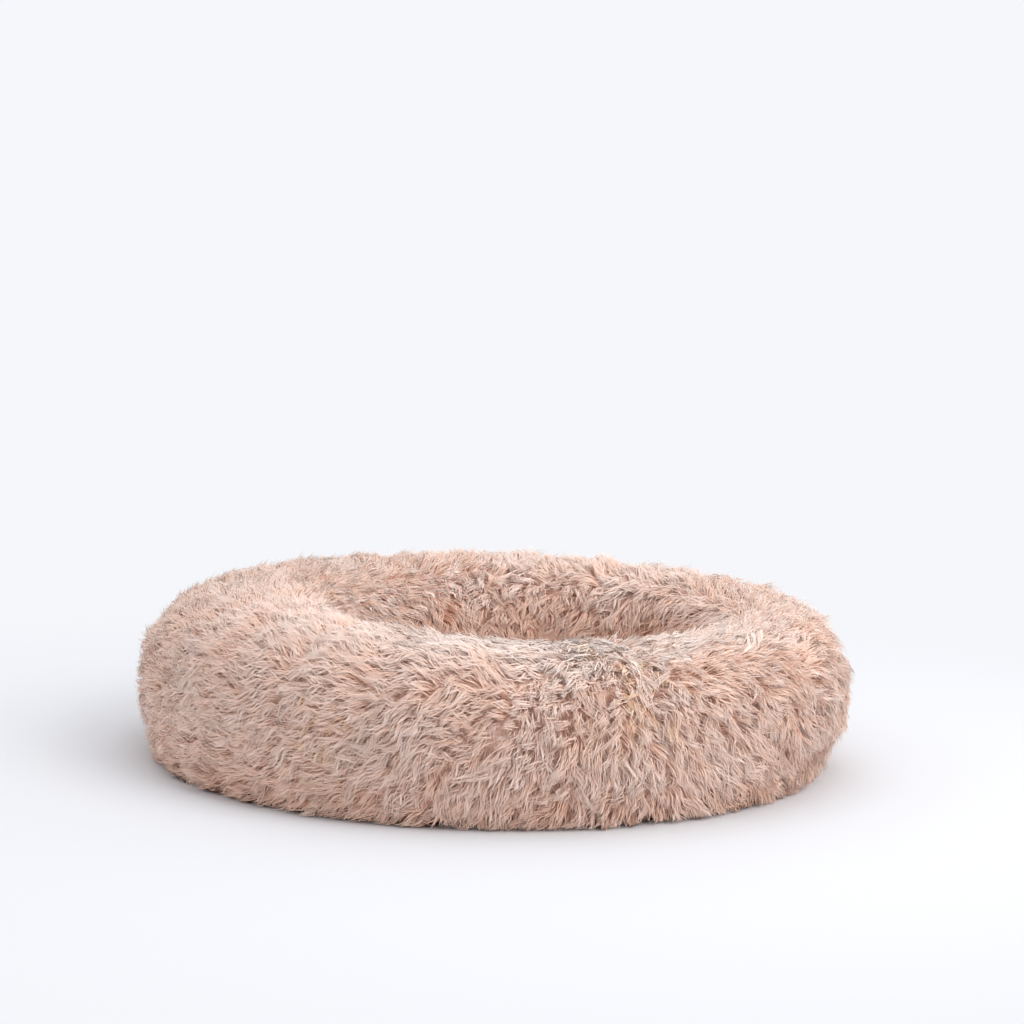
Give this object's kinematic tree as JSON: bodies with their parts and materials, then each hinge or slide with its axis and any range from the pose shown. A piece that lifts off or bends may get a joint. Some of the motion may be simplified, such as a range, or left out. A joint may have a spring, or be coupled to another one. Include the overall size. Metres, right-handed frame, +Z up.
{
  "type": "donut pet bed",
  "caption": "Round long-pile plush pet bed: a stuffed ring round an off-centre padded nest, in a cover of sewn panels that zips off at the back",
  "frame": {"origin": "middle of the bed's bounding box, on the floor it stands on", "axes": "+Z up, the front faces -Y, +X to the viewer's right; the nest is off centre towards +X and the zip is at the back, +Y"},
  "size_m": [0.6086, 0.5967, 0.1454],
  "materials": {
    "plush": "long shaggy faux-fur pile, dusty rose beige with paler tips",
    "nest_plush": "the same faux fur, trodden flatter",
    "lining_cloth": "thin undyed non-woven lining",
    "fibre_fill": "white hollow-fibre wadding",
    "base_cloth": "dense brown woven cloth with small grip dots",
    "zip_tape": "woven zip tape, brown",
    "zip_teeth": "moulded plastic, satin brown",
    "zip_metal": "die-cast metal, dull nickel colour"
  },
  "bodies": {
    "bed": {"plush_front": "plush", "plush_front_right": "plush", "plush_rear_right": "plush", "plush_rear": "plush", "plush_rear_left": "plush", "plush_front_left": "plush", "nest_floor_plush": "nest_plush", "bolster_lining_upper": "lining_cloth", "bolster_lining_lower": "lining_cloth", "bolster_fibre_fill": "fibre_fill", "cushion_lining_top": "lining_cloth", "cushion_lining_bottom": "lining_cloth", "cushion_fibre_fill": "fibre_fill", "base_panel": "base_cloth", "zip_tape_upper": "zip_tape", "zip_tape_lower": "zip_tape", "zip_teeth_upper": "zip_teeth", "zip_teeth_lower": "zip_teeth", "zip_top_stop_upper": "zip_metal", "zip_top_stop_lower": "zip_metal", "zip_bottom_stop": "zip_metal"},
    "zip_slider": {"zip_slider": "zip_metal"},
    "zip_pull": {"zip_pull": "zip_metal"}
  },
  "joints": [
    {"name": "zip_run", "type": "hinge", "parent": "bed", "child": "zip_slider", "pos_m": [0, 0, 0.0133], "axis": [0, 0, 1], "range_deg": [0, 80]},
    {"name": "zip_pull_swing", "type": "hinge", "parent": "zip_slider", "child": "zip_pull", "pos_m": [0.18227, 0.21367, 0.0133], "axis": [0, 0, -1], "range_deg": [0, 180]}
  ]
}
